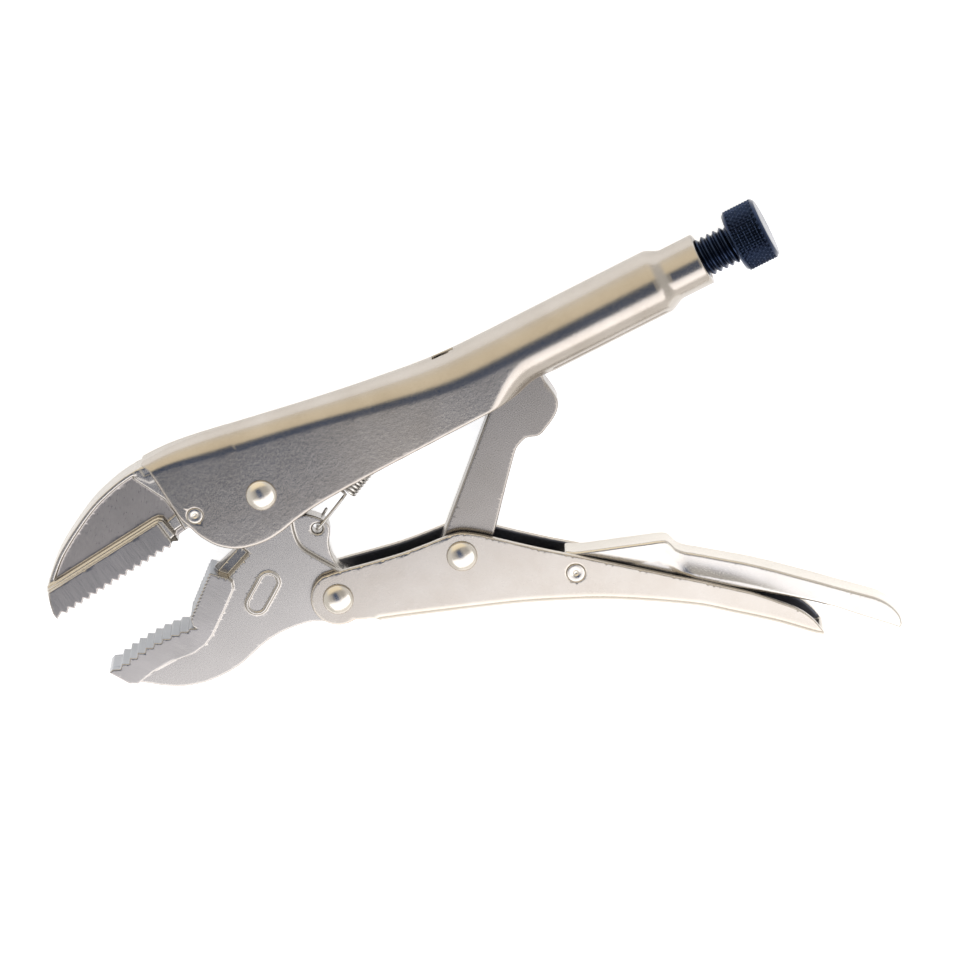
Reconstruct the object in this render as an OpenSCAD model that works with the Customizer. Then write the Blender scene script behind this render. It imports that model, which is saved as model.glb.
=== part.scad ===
// Locking pliers with curved jaws, shown open: stamped handles, forged jaws,
// toggle link, release lever, return spring and adjusting screw.
// All shapes are laid out round the main pivot and then moved by org, so that
// the origin is under the middle of the tool, which lies flat on its side.

/* [Sheet metal] */

// Thickness of the stamped sheet
sheet = 2.3; // [2.0:0.1:2.4]
// Half width of the upper handle at its open front
front_w = 7.3; // [7.2:0.1:7.6]
// Outer radius of the tubular rear of the upper handle
tube_r = 10.2; // [9.8:0.1:10.8]
// Outer radius of the neck that carries the adjusting screw
neck_r = 8.2; // [8.0:0.1:8.6]

/* [Jaws] */

// Half thickness of the jaw bodies
jaw_t = 4.75; // [4.4:0.05:4.8]
// Half thickness of the toothed strips
strip_t = 7.1; // [6.0:0.1:7.4]
// Depth of the upper jaw teeth
tooth_d = 1.3; // [0.8:0.1:1.5]

/* [Fasteners] */

// Radius of the three rivet shanks
rivet_r = 3.2; // [2.6:0.1:3.6]
// Radius of the domed rivet heads
head_r = 4.75; // [4.4:0.05:5.2]
// Height of the domed rivet heads
head_h = 2.2; // [1.6:0.1:2.6]
// Running clearance on every turning pin
run = 0.06; // [0.04:0.01:0.08]

/* [Adjusting screw] */

// Radius over the thread
screw_r = 6.1; // [5.8:0.1:6.1]
// Radius of the knurled knob
knob_r = 9.8; // [9.0:0.1:10.2]
// Length of the knurled knob
knob_l = 10.8; // [9.0:0.1:12.0]

/* [Hidden] */
org = [-49.5, 52.6, 10.2];

// pivots, as seen from above
A = [0, 0];
B = [4.9, -40.5];
C = [45.0, -45.9];
D = [93.0, 2.0];
E = [73.3, -67.0];
P = [-21.1, 3.6];
H = [9.2, -18.7];
axis_y = 2.0;
neck_end = 152.6;
shoulder = 136.5;
knob_x = 163.2;

steel = [0.74, 0.72, 0.69];
black = [0.07, 0.08, 0.11];

function smooth(t) = let (u = max(0, min(1, t))) u * u * (3 - 2 * u);
function crp(a, b, c, d, t) =
    0.5 * (2 * b + (c - a) * t + (2 * a - 5 * b + 4 * c - d) * t * t
    + (3 * b - a - 3 * c + d) * t * t * t);
function spline(P, n = 3) = concat(
    [for (i = [0:len(P) - 2]) for (k = [0:n - 1])
        crp(P[max(i - 1, 0)], P[i], P[i + 1], P[min(i + 2, len(P) - 1)], k / n)],
    [P[len(P) - 1]]);
function arc(c, r, a0, a1, n = 8) =
    [for (k = [0:n]) c + r * [cos(a0 + (a1 - a0) * k / n), sin(a0 + (a1 - a0) * k / n)]];
function rev(P) = [for (i = [len(P) - 1:-1:0]) P[i]];
function unit(v) = v / norm(v);

module plate(pts, t) translate([0, 0, -t]) linear_extrude(2 * t) polygon(pts);
module bore(c, r, t = 20) translate([c[0], c[1], -t]) cylinder(h = 2 * t, r = r, $fn = 72);

// rounded rectangle section across a handle, seen along its length: [y, z]
function sect(yt, yb, w, rt, rb, n) = concat(
    [for (k = [0:n]) [yt - rt, -(w - rt)] + rt * [sin(90 * k / n), -cos(90 * k / n)]],
    [for (k = [0:n]) [yt - rt, w - rt] + rt * [cos(90 * k / n), sin(90 * k / n)]],
    [for (k = [0:n]) [yb + rb, w - rb] + rb * [-sin(90 * k / n), cos(90 * k / n)]],
    [for (k = [0:n]) [yb + rb, -(w - rb)] + rb * [-cos(90 * k / n), -sin(90 * k / n)]]);

// solid through a row of sections; S[i] = [x, section points]
module loft(S) {
    m = len(S[0][1]);
    n = len(S);
    pts = [for (s = S) for (p = s[1]) [s[0], p[0], p[1]]];
    sides = [for (i = [0:n - 2]) for (j = [0:m - 1])
        let (a = i * m + j, b = i * m + (j + 1) % m)
        each [[a, b + m, b], [a, a + m, b + m]]];
    polyhedron(points = pts, faces = concat([[for (j = [0:m - 1]) j]], sides,
        [[for (j = [m - 1:-1:0]) (n - 1) * m + j]]));
}

// domed rivet through two walls whose outer faces are at +-w
module rivet(c, w) {
    translate([c[0], c[1], 0]) {
        translate([0, 0, -w]) cylinder(h = 2 * w, r = rivet_r, $fn = 72);
        for (s = [0, 1]) mirror([0, 0, s]) translate([0, 0, w]) intersection() {
            cylinder(h = head_h, r = head_r, $fn = 72);
            translate([0, 0, head_h - (head_r * head_r + head_h * head_h) / (2 * head_h)])
                sphere(r = (head_r * head_r + head_h * head_h) / (2 * head_h), $fn = 96);
        }
    }
}

// ---- upper handle ----
top_line = spline([[-31, 25.2], [-20, 25.4], [-10, 24.5], [0, 22.8], [10, 21.0],
    [20, 19.2], [30, 17.5], [40, 15.9], [50, 14.5], [60, 13.2], [70, 12.4],
    [82, 12.2], [96, 12.2]], 3);
function hw(x) = front_w + (tube_r - front_w) * smooth((x - 15) / 65);
function hrt(x) = x < 0 ? 4.5 + (front_w - 4.9) * smooth((x + 29) / 24) : hw(x) - 0.4;
function hyb(x) = -17 + (axis_y - tube_r + 17) * smooth((x - 62) / 30);
function hrb(x) = 3 + (tube_r - 3.4) * smooth((x - 62) / 30);
function outer_at(x, yt) = [x, sect(yt, hyb(x), hw(x), hrt(x), hrb(x), 5)];
function inner_at(x, yt) = [x, sect(yt - sheet, hyb(x) + sheet, hw(x) - sheet,
    max(hrt(x) - sheet, 0.6), max(hrb(x) - sheet, 0.6), 5)];
function round_at(x, r) = [x, sect(axis_y + r, axis_y - r, r, r - 0.4, r - 0.4, 5)];

module handle_trim() {
    edge = concat(
        [[-28.8, 32], [-28.8, 26.0], [-28.4, 24.6], [-26.9, 22.4]],
        spline([[-26.6, 18], [-26.2, 9.5], [-25.7, 4.5], [-24.3, 0.4], [-22.8, -3.6],
            [-19.8, -8.2], [-15.5, -11.6], [-10.5, -13.3], [-5.0, -13.9], [0.5, -13.3],
            [6, -12.1], [14, -11.0], [24, -10.4], [36, -9.9], [50, -9.4], [64, -8.9],
            [76, -8.7]], 4),
        [[90, -8.7], [97.5, -11.5], [97.5, -20], [160, -20], [160, 32]]);
    translate([0, 0, -20]) linear_extrude(40) polygon(edge);
}

module upper_handle() color(steel) translate(org) {
    difference() {
        intersection() {
            loft(concat([for (p = top_line) outer_at(p[0], p[1])],
                [round_at(shoulder, tube_r), round_at(shoulder + 1.2, tube_r - 0.25),
                 round_at(shoulder + 4.4, neck_r + 0.3), round_at(shoulder + 6, neck_r),
                 round_at(neck_end, neck_r)]));
            handle_trim();
        }
        loft(concat([[-40, inner_at(-31, top_line[0][1])[1]]],
            [for (p = top_line) inner_at(p[0], p[1])],
            [round_at(shoulder - 0.6, tube_r - sheet), round_at(shoulder + 2.6, 6)]));
        // mouth of the channel, where the toggle link goes in
        translate([0, -2, 0]) rotate([90, 0, 0]) linear_extrude(18)
            polygon(concat([[60, -4.9]], arc([93, 0], 4.9, -90, 90, 18), [[60, 4.9]]));
        // bore of the neck
        translate([shoulder + 1, axis_y, 0]) rotate([0, 90, 0])
            cylinder(h = 30, r = screw_r + run, $fn = 72);
        bore(A, rivet_r + 0.02);
        bore(P, 2.37);
        // window left by the spring tab
        translate([65.4, 7, -1.7]) cube([7, 10, 3.4]);
    }
    // tab lanced out of the spine, which holds the spring
    plate([[75.0, 11.6], [75.0, 10.4], [71.0, 9.8], [66.5, 8.0], [64.3, 5.2], [62.9, 5.9],
        [65.0, 9.2], [68.0, 10.9], [71.0, 11.8]], 1.4);
}

// ---- upper jaw ----
jaw_back = spline([[-75.0, -2.5], [-74.0, 1.2], [-71.5, 5.0], [-65.4, 10.6], [-60, 14.2],
    [-54.8, 17.1], [-50, 19.5], [-45.6, 21.3], [-40, 22.9], [-35, 23.9], [-30.4, 24.3]], 3);
module upper_jaw_profile() polygon(concat(
    [[-30.0, -0.6], [-73.4, -4.6], [-74.8, -5.6]], jaw_back,
    [[-29.3, 24.2], [-29.1, 21.3], [-26.4, 21.0], [-24, 20.4], [-16, 20.1], [-12, 19.2], [-10.5, 18.0],
     [-10.5, 5.0], [-14, 0.6], [-24.8, 0.2]]));
module upper_jaw() color(steel) translate(org) difference() {
    union() {
        // recessed web
        translate([0, 0, -3.6]) linear_extrude(7.2) upper_jaw_profile();
        // raised rim along the back
        plate(concat(jaw_back, rev([for (p = jaw_back)
            let (q = p - [-52, -24]) p - unit(q) * (p[0] < -72 ? 0.9 : 1.5)])), jaw_t);
        // boss clamped by the handle
        plate([[-31.2, 24.1], [-32.6, 22.0], [-27.4, 12.0], [-26.6, 6.6], [-26.6, 0.4],
            [-24.8, 0.2], [-14, 0.6], [-10.5, 5.0], [-10.5, 18.0], [-12, 19.2], [-16, 20.1],
            [-24, 20.4], [-26.4, 21.0], [-29.1, 21.3], [-29.3, 24.2], [-30.4, 24.2]], jaw_t);
        // top of the boss, which fills the front of the channel
        plate([[-31.4, 24.2], [-30.4, 24.3], [-29.2, 24.4], [-28.8, 22.8], [-24, 22.7],
            [-20, 22.4], [-20, 18], [-29, 18]], 2.9);
        // shoulder above the toothed strip
        plate([[-73.6, 2.6], [-72.6, 4.2], [-33.4, 8.0], [-31.6, 7.9], [-30.4, 7.0],
            [-29.4, 1.0], [-32, 0]], 5.3);
        plate([[-73.4, 2.2], [-72.7, 3.4], [-33.2, 7.4], [-31.9, 7.3], [-30.8, 6.4],
            [-29.7, 0.6], [-32, 0]], 6.3);
        // toothed strip
        plate(concat([[-29.9, -1.8], [-30.8, 5.4], [-31.6, 6.5], [-33.0, 6.8],
            [-72.8, 2.7], [-74.2, -0.4], [-75.0, -4.0], [-74.7, -6.3]],
            [for (i = [0:15]) let (x = -70.9 + 2.72 * i, y = -5.95 + 0.272 * i)
                each [[x - 1.36, y + tooth_d - 0.14], [x, y]]]), strip_t);
        // wire cutter
        plate([[-30, -0.8], [-28.6, -0.5], [-25.2, 0.0], [-25.2, 6.4], [-28.2, 5.5], [-30, 5]], 4.2);
    }
    bore(P, 2.35);
    bore(A, 11.9);
}

module upper_jaw_pin() color(steel) translate(org) translate([P[0], P[1], 0]) difference() {
    cylinder(h = 2 * front_w + 0.3, r = 2.35, center = true, $fn = 72);
    for (s = [0, 1]) mirror([0, 0, s]) {
        translate([0, 0, front_w - 0.65]) difference() {
            cylinder(h = 2, r1 = 0.9, r2 = 3.1, $fn = 72);
            cylinder(h = 1, r1 = 0.6, r2 = 0.2, center = true, $fn = 48);
        }
    }
}

module main_pivot_rivet() color(steel) translate(org) rivet(A, front_w);

// ---- lower jaw ----
jaw_belly = spline([[-65.2, -35.0], [-63.0, -36.4], [-59.6, -38.9], [-56.1, -41.5],
    [-51.5, -44.1], [-46.7, -45.7], [-43, -46.4], [-39.2, -46.6], [-35, -46.5],
    [-30.7, -45.8], [-26, -44.4], [-22.1, -43.4], [-18.5, -42.9], [-14.5, -42.8],
    [-10, -43.3], [-6.3, -44.1], [-2.5, -46.0], [-0.6, -47.0]], 2);
fine_a = [-38.4, -25.2];
fine_b = [-26.2, -15.0];
module lower_jaw() color(steel) translate(org) difference() {
    union() {
        // body from the hub to the nose
        plate(concat(rev(jaw_belly), [[-69.0, -28.9], [-67.8, -28.4], [-64, -29.6], [-40, -28.9],
            [-36.8, -24.6], [-25.6, -16.0], [-24.6, -15.2], [-16.0, -12.9], [-12, -9.5]],
            arc(A, 11.5, 215, -20, 24),
            spline([[7.0, -9.3], [4.6, -11.2], [3.3, -13.6], [2.4, -16.7], [2.1, -19.6],
                [2.6, -22.2], [4.2, -25.2], [6.6, -29.2], [9.2, -33.4]], 2),
            arc(B, 8.0, 50, -120, 14)), jaw_t);
        // thinner spring ear
        plate(concat([[2, -11], [8.4, -13.1], [10.3, -14.7]],
            spline([[11.8, -16.4], [12.8, -18.7], [12.4, -21.1], [10.4, -24.0], [9.3, -27.0],
                [9.0, -30.2], [9.6, -34]], 3), [[4, -32], [1, -20]]), 3);
        // toothed strip: coarse steps, then fine teeth in the throat
        plate(concat(
            [[-69.0, -28.9], [-67.6, -28.4], [-65.4, -29.4]],
            [for (i = [0:8]) let (x = -64.1 + 3.0 * i,
                y = -26.75 - 1.35 * pow((x + 51) / 13, 2))
                each [[x, y], [x + 1.9, y - 1.05]]],
            [[-38.9, -27.7], fine_a],
            [for (i = [0:12]) let (p = fine_a + (fine_b - fine_a) * (i + 0.5) / 13)
                each [p + [0.05, -0.15], p + [0.0, 0.38]]],
            [[-25.9, -15.0], [-21.9, -19.0], [-21.3, -20.7], [-22.2, -22.9],
             [-28.1, -27.7], [-34.8, -32.9], [-38.5, -34.8], [-42.7, -35.5], [-46.5, -35.2],
             [-49.9, -34.7], [-56.5, -34.9], [-62.8, -36.3], [-65.2, -35.0]]), strip_t);
        // wire cutter
        plate([[-24.6, -15.2], [-16.0, -12.9], [-12, -10.5], [-14, -15], [-20, -17.4]], jaw_t);
        // plain raised pad on both sides
        hull() for (p = [[-11.8, -26.4], [-18.4, -30.9]])
            translate([p[0], p[1], -jaw_t - 0.5]) cylinder(h = 2 * jaw_t + 1, r = 3.0, $fn = 32);
    }
    bore(A, rivet_r + run);
    bore(B, rivet_r + run);
    bore(H, 1.55);
}

// ---- rivets on the lower handle ----
low_w = 7.25;
module jaw_handle_rivet() color(steel) translate(org) rivet(B, low_w);
module link_rivet() color(steel) translate(org) rivet(C, low_w);

// ---- lower handle ----
low_top = concat(
    arc(B, 8.5, 195, 96, 9),
    spline([[7.4, -32.5], [12, -33.4], [20, -35.1], [28.4, -36.7], [36, -37.6], [41.9, -38.1],
        [45.5, -38.5], [48.6, -39.5], [52.8, -42.4], [57.6, -46.6], [62.4, -50.9],
        [69, -56.6], [75.6, -62.0], [84.4, -69.4], [93.1, -76.7], [99.4, -82],
        [105.7, -87.2], [112, -92.7], [118.4, -98.4], [124.3, -104.7], [128.6, -109.9],
        [130.9, -114.8], [131.9, -119.8]], 2));
low_bot = spline([[131.2, -121.0], [128.6, -119.0], [121.3, -111.8], [115.2, -106.4],
    [109.5, -101.6], [102.4, -95.6], [93, -89.2], [84, -83.6], [74.6, -78.3], [64, -73.2],
    [53.6, -68.6], [42, -64.1], [30, -59.6], [20, -55.9], [13.0, -53.4]], 2);
function low_yb(x) = lookup(x, rev(low_bot));
function low_sec(x) = let (yb = x < 13 ? -53.4 - (13 - x) * 0.3 : lookup(x, rev(low_bot)))
    [x, sect(yb + 50, yb, low_w, 1, 2.8, 4)];
module lower_handle() color(steel) translate(org) difference() {
    intersection() {
        plate(concat(low_top, [[131.4, -123.5], [124, -123.5], [60, -85], [13.4, -59],
            [12.7, -53.2], [12.3, -51.8], [11.0, -51.0]], arc(B, 8.5, 278, 200, 8)), low_w + 1);
        loft(concat([low_sec(-8), low_sec(11), low_sec(13)],
            [for (x = [18:6:132]) low_sec(x)], [low_sec(134)]));
    }
    // inside of the channel
    plate(concat([for (p = rev(low_bot)) p + [-0.9, 2.25]], [[140, -119], [140, 0], [-20, 0],
        [-20, -60], [10.2, -60]]), 4.95);
    bore(B, rivet_r + 0.02);
    bore(C, rivet_r + 0.02);
    bore(E, 2.77);
}

// ---- toggle link ----
link_dir = unit(D - C);
module toggle_link() color(steel) translate(org) difference() {
    plate(concat(
        arc(C, 7.3, 132.6, 319, 18),
        spline([[56.4, -45.3], [64.4, -36.1], [72.3, -27.2], [75.2, -24.2], [77.8, -22.9],
            [79.9, -22.6], [83.5, -23.6], [87.2, -22.1], [89.4, -21.0], [91.7, -19.3],
            [93.2, -17.2], [93.6, -14.8], [93.3, -11.5], [93.0, -8.0], [94.4, -4.4]], 3),
        arc(D, 4.6, -42, 132.6, 10)), 4.0);
    bore(C, rivet_r + run);
}

// ---- release lever ----
lev_top = concat(
    spline([[72.2, -60.9], [73.0, -60.3], [74.1, -60.5], [76.2, -61.8], [81.5, -63.8], [88.6, -66.3],
        [96.7, -69.2], [100.4, -70.5], [102.4, -71.6], [103.2, -73.2], [103.9, -75.4], [105.9, -77.6],
        [109.0, -80.0], [116.0, -85.6], [120.4, -89.1], [126.4, -94.4], [132.0, -99.7],
        [137, -104.4], [141.3, -108.6], [147.4, -114.4], [151.4, -118.4],
        [153.8, -122.4], [154.8, -126.6], [154.2, -129.6]], 2));
lev_bot = [[153.0, -130.6], [150.2, -127.6], [144, -121.2], [138.4, -115.2], [133.8, -110.9],
    [127, -105.2], [120, -99.8], [110, -92.8], [100, -86.5], [90, -80.4], [80, -75.0],
    [77.0, -72.6], [73.6, -72.1], [70.2, -70.6], [69.0, -67.6], [69.8, -64.6]];
function lev_sec(x, y) = [x, sect(y, y - 40, 4.7, 1.6, 1, 4)];
module release_lever() color(steel) translate(org) difference() {
    intersection() {
        plate(concat([[69.4, -62.4], [70.6, -60.2], [72.2, -56], [110, -56], [160, -110],
            [155.4, -121.6], [155.0, -126.6], [154.3, -129.6]], lev_bot), 5.7);
        loft([for (x = [68, 72, 76, 80, 86, 92, 97, 100, 101.6, 102.8, 103.8, 105, 107, 110,
            115, 120, 125, 130, 135, 140, 145, 149, 152, 154, 156])
            lev_sec(x, x < 72.4 ? -60.5 : lookup(x, [for (p = lev_top) [p[0], p[1]]]))]);
    }
    plate(concat([for (p = lev_top) if (p[0] > 76 && p[0] < 150) p + [-0.8, -1.8]],
        [[149.5, -122], [151, -150], [60, -150], [60, -66], [74, -64.6]]), 2.9);
    bore(E, 2.75 + run);
}
module release_lever_pin() color(steel) translate(org) translate([E[0], E[1], 0]) difference() {
    cylinder(h = 2 * low_w + 0.3, r = 2.75, center = true, $fn = 72);
    for (s = [0, 1]) mirror([0, 0, s]) {
        translate([0, 0, low_w - 0.65]) difference() {
            cylinder(h = 2, r1 = 1.2, r2 = 3.4, $fn = 72);
            cylinder(h = 1, r1 = 0.8, r2 = 0.3, center = true, $fn = 48);
        }
    }
}

// ---- return spring ----
coil_r = 2.9;
wire_r = 0.52;
pitch = 1.25;
turns = 33;
spr_u = unit([64.6 - H[0], 6.0 - H[1], 0]);
spr_v = [-spr_u[1], spr_u[0], 0];
spr_0 = [H[0], H[1], 0] + 14.2 * spr_u;
spr_n = spr_0 + turns * pitch * spr_u;
path = concat(
    // hook through the ear of the lower jaw
    [[H[0], H[1], 0] + 5.2 * spr_u + 0.5 * spr_v + [0, 0, -4.3],
     [H[0], H[1], 0] + 1.5 * spr_u + [0, 0, -4.3],
     [H[0], H[1], -3.6] + 0.35 * spr_u, [H[0], H[1], -2.6], [H[0], H[1], 2.6],
     [H[0], H[1], 3.6] + 0.35 * spr_u,
     [H[0], H[1], 0] + 1.5 * spr_u + [0, 0, 4.3],
     [H[0], H[1], 0] + 11.4 * spr_u + [0, 0, 3.6],
     spr_0 - 1.4 * spr_u + [0, 0, coil_r + 0.2]],
    // coil
    [for (k = [0:9 * turns]) spr_0 + (pitch * k / 9) * spr_u
        + coil_r * (cos(40 * k) * [0, 0, 1] + sin(40 * k) * spr_v)],
    // hook round the tab
    [spr_n + 1.6 * spr_u + [0, 0, coil_r + 0.1],
     spr_n + 4.6 * spr_u + [0, 0, 2.9],
     spr_n + 6.6 * spr_u + [0, 0, 2.3],
     spr_n + 7.4 * spr_u + [0, 0, 1.2],
     spr_n + 7.4 * spr_u + [0, 0, -1.2],
     spr_n + 6.8 * spr_u + [0, 0, -2.4]]);
function tan_at(i) = unit(path[min(i + 1, len(path) - 1)] - path[max(i - 1, 0)]);
function flat_to(n, t) = unit(n - (n * t) * t);
module return_spring() color(steel) translate(org) {
    L = len(path);
    frames = [for (i = 0, n = flat_to([0, 0.3, 1], tan_at(0)); i < L;
        i = i + 1, n = i < L ? flat_to(n, tan_at(i)) : n) n];
    m = 5;
    pts = [for (i = [0:L - 1]) let (t = tan_at(i), n = frames[i], b = cross(t, n))
        for (j = [0:m - 1]) path[i] + wire_r * (cos(360 * j / m) * n + sin(360 * j / m) * b)];
    sides = [for (i = [0:L - 2]) for (j = [0:m - 1])
        let (a = i * m + j, b = i * m + (j + 1) % m)
        each [[a, b + m, b], [a, a + m, b + m]]];
    polyhedron(points = pts, faces = concat([[for (j = [0:m - 1]) j]], sides,
        [[for (j = [m - 1:-1:0]) (L - 1) * m + j]]));
}

// ---- adjusting screw ----
screw_tip = 100.6;
thread_p = 2.0;
module turned(pts) translate([0, axis_y, 0]) rotate([0, 90, 0]) rotate([0, 0, 90])
    rotate_extrude($fn = 72) polygon(pts);
module adjusting_screw() color(black) translate(org) turned(concat(
    [[0, screw_tip], [3.6, screw_tip], [4.6, screw_tip + 1], [4.6, 112], [screw_r - 0.9, 113]],
    [for (i = [0:23]) each [[screw_r, 113.9 + thread_p * i], [screw_r, 114.2 + thread_p * i],
        [screw_r - 0.9, 115 + thread_p * i]]],
    [[screw_r - 0.9, knob_x - 0.1], [4.0, knob_x - 0.1], [4.0, knob_x + 6.9], [0, knob_x + 6.9]]));
module knurled_knob() color(black) translate(org) turned([[4.0 + run, knob_x],
    [knob_r - 1.3, knob_x], [knob_r, knob_x + 1.3], [knob_r, knob_x + knob_l - 1.3],
    [knob_r - 1.3, knob_x + knob_l], [0, knob_x + knob_l], [0, knob_x + 7.0],
    [4.0 + run, knob_x + 7.0]]);

upper_handle();
upper_jaw();
upper_jaw_pin();
main_pivot_rivet();
lower_jaw();
jaw_handle_rivet();
lower_handle();
toggle_link();
link_rivet();
release_lever();
release_lever_pin();
return_spring();
adjusting_screw();
knurled_knob();
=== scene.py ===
import math

import bpy
import numpy as np
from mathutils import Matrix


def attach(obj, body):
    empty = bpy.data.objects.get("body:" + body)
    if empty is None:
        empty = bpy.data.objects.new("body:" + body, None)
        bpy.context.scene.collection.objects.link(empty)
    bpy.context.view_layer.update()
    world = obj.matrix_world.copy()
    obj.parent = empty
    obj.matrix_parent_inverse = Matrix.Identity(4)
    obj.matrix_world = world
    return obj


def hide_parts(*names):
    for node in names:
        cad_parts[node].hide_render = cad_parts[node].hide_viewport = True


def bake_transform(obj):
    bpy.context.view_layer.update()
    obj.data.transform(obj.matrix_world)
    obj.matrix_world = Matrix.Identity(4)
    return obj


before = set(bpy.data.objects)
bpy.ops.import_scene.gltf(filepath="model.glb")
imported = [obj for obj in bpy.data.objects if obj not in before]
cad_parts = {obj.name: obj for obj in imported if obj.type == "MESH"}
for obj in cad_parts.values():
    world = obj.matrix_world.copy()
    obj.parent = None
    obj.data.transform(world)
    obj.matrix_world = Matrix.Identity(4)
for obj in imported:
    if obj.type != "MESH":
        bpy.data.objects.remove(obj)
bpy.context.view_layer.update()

import openvdb as vdb
from mathutils import Matrix, Vector

ORG = np.array([-49.5, 52.6, 10.2])   # the main pivot is the design's own zero, in mm
M = 0.001

# ------------------------------------------------------------------ plan of the linkage
A = np.array([0.0, 0.0])
B = np.array([4.9, -40.5])
C = np.array([45.0, -45.9])
D = np.array([93.0, 2.0])
E = np.array([73.3, -67.0])
P = np.array([-21.1, 3.6])
H = np.array([9.2, -18.7])
AXIS_Y = 2.0
SHEET = 2.3
FRONT_W, TUBE_R, NECK_R = 7.3, 10.2, 8.2
JAW_T, STRIP_T, TOOTH = 4.75, 7.1, 1.3
NECK_END, SHOULDER, KNOB_X = 152.6, 136.5, 163.2
LOW_W = 7.25


# ------------------------------------------------------------------ small helpers
def spline(pts, n=8):
    pts = [np.array(p, float) for p in pts]
    out = []
    for i in range(len(pts) - 1):
        a, b, c, d = pts[max(i - 1, 0)], pts[i], pts[i + 1], pts[min(i + 2, len(pts) - 1)]
        for k in range(n):
            t = k / n
            out.append(0.5 * (2 * b + (c - a) * t + (2 * a - 5 * b + 4 * c - d) * t * t
                              + (3 * b - a - 3 * c + d) * t ** 3))
    out.append(pts[-1])
    return [tuple(p) for p in out]


def arc(c, r, a0, a1, n=24):
    return [(c[0] + r * math.cos(math.radians(a0 + (a1 - a0) * k / n)),
             c[1] + r * math.sin(math.radians(a0 + (a1 - a0) * k / n))) for k in range(n + 1)]


def smooth(t):
    t = np.clip(t, 0, 1)
    return t * t * (3 - 2 * t)


def smin(a, b, k):
    h = np.clip(0.5 + 0.5 * (b - a) / k, 0, 1)
    return b + (a - b) * h - k * h * (1 - h)


def smax(a, b, k):
    return -smin(-a, -b, k)


class Field:
    """Signed distances on a fine grid over half of a piece that is alike on both sides of z = 0."""

    def __init__(self, lo, hi, h):
        self.h = h
        self.x = np.arange(lo[0] - 3 * h, hi[0] + 3.5 * h, h, dtype=np.float32)
        self.y = np.arange(lo[1] - 3 * h, hi[1] + 3.5 * h, h, dtype=np.float32)
        self.z = ((np.arange(int(hi[2] / h) + 5) + 0.5) * h).astype(np.float32)
        self.X, self.Y = np.meshgrid(self.x, self.y, indexing="ij")
        self.d = np.full((len(self.x), len(self.y), len(self.z)), 9.0, np.float32)

    def poly(self, pts):
        """Signed distance to a closed outline in the plane, below zero inside."""
        pts = np.array(pts, np.float32)
        keep = np.linalg.norm(pts - np.roll(pts, 1, 0), axis=1) > 1e-4
        pts = pts[keep]
        d = np.full(self.X.shape, 1e9, np.float32)
        s = np.ones(self.X.shape, np.float32)
        for i in range(len(pts)):
            a, b = pts[i], pts[i - 1]
            e = b - a
            wx, wy = self.X - a[0], self.Y - a[1]
            t = np.clip((wx * e[0] + wy * e[1]) / (e @ e), 0, 1)
            d = np.minimum(d, (wx - e[0] * t) ** 2 + (wy - e[1] * t) ** 2)
            c1, c2, c3 = self.Y >= a[1], self.Y < b[1], e[0] * wy > e[1] * wx
            s = np.where((c1 & c2 & c3) | (~c1 & ~c2 & ~c3), -s, s)
        return s * np.sqrt(d)

    def disc(self, c, r):
        return np.hypot(self.X - c[0], self.Y - c[1]) - r

    def ext(self, d2, t, r=0.3):
        """Straight extrusion to +-t with its edges rounded by r. t may vary over the plan."""
        a = d2[:, :, None] + r
        b = self.z[None, None, :] - (t[:, :, None] if isinstance(t, np.ndarray) else t) + r
        return np.minimum(np.maximum(a, b), 0) + np.hypot(np.maximum(a, 0), np.maximum(b, 0)) - r

    def add(self, d, k=0.0):
        self.d = smin(self.d, d, k) if k else np.minimum(self.d, d)

    def cut(self, d, k=0.0):
        self.d = smax(self.d, -d, k) if k else np.maximum(self.d, -d)

    def keep(self, d, k=0.0):
        self.d = smax(self.d, d, k) if k else np.maximum(self.d, d)

    def mesh(self, name, adaptivity=0.0003):
        band = 3.0 * self.h
        full = np.concatenate([self.d[:, :, ::-1], self.d], axis=2)
        full = np.ascontiguousarray(np.clip(full, -band, band).astype(np.float32))
        grid = vdb.FloatGrid(band)
        grid.copyFromArray(full)
        points, tris, quads = grid.convertToPolygons(isovalue=0.0, adaptivity=adaptivity)
        index = points.astype(np.float64)
        low = np.array([self.x[0], self.y[0], -self.z[-1]], float)
        where = low + index * self.h
        faces = [tuple(int(v) for v in f) for f in quads] + [tuple(int(v) for v in f) for f in tris]
        me = bpy.data.meshes.new(name)
        me.from_pydata(((where + ORG) * M).tolist(), [], faces)
        # shading follows the field itself, so flats stay flat right up to their edges
        g = np.gradient(full, self.h)
        i0 = np.clip(np.floor(index).astype(int), 0, np.array(full.shape) - 2)
        f = index - i0
        n = np.zeros_like(where)
        for c in range(3):
            for dx in (0, 1):
                for dy in (0, 1):
                    for dz in (0, 1):
                        wgt = (np.abs(1 - dx - f[:, 0]) * np.abs(1 - dy - f[:, 1])
                               * np.abs(1 - dz - f[:, 2]))
                        n[:, c] += wgt * g[c][i0[:, 0] + dx, i0[:, 1] + dy, i0[:, 2] + dz]
        length = np.linalg.norm(n, axis=1, keepdims=True)
        n = n / np.where(length > 1e-6, length, 1)
        me.update()
        # outward faces
        co = where
        a, b, c = (co[[q[i] for q in faces[:4000]]] for i in (0, 1, 2))
        fn = np.cross(b - a, c - a)
        vn = n[[q[0] for q in faces[:4000]]]
        if (fn * vn).sum() < 0:
            me.flip_normals()
        for p in me.polygons:
            p.use_smooth = True
        me.validate(verbose=False)
        if len(me.vertices) == len(n):
            me.normals_split_custom_set_from_vertices(n.tolist())
        ob = bpy.data.objects.new(name, me)
        bpy.context.scene.collection.objects.link(ob)
        return ob


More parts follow.
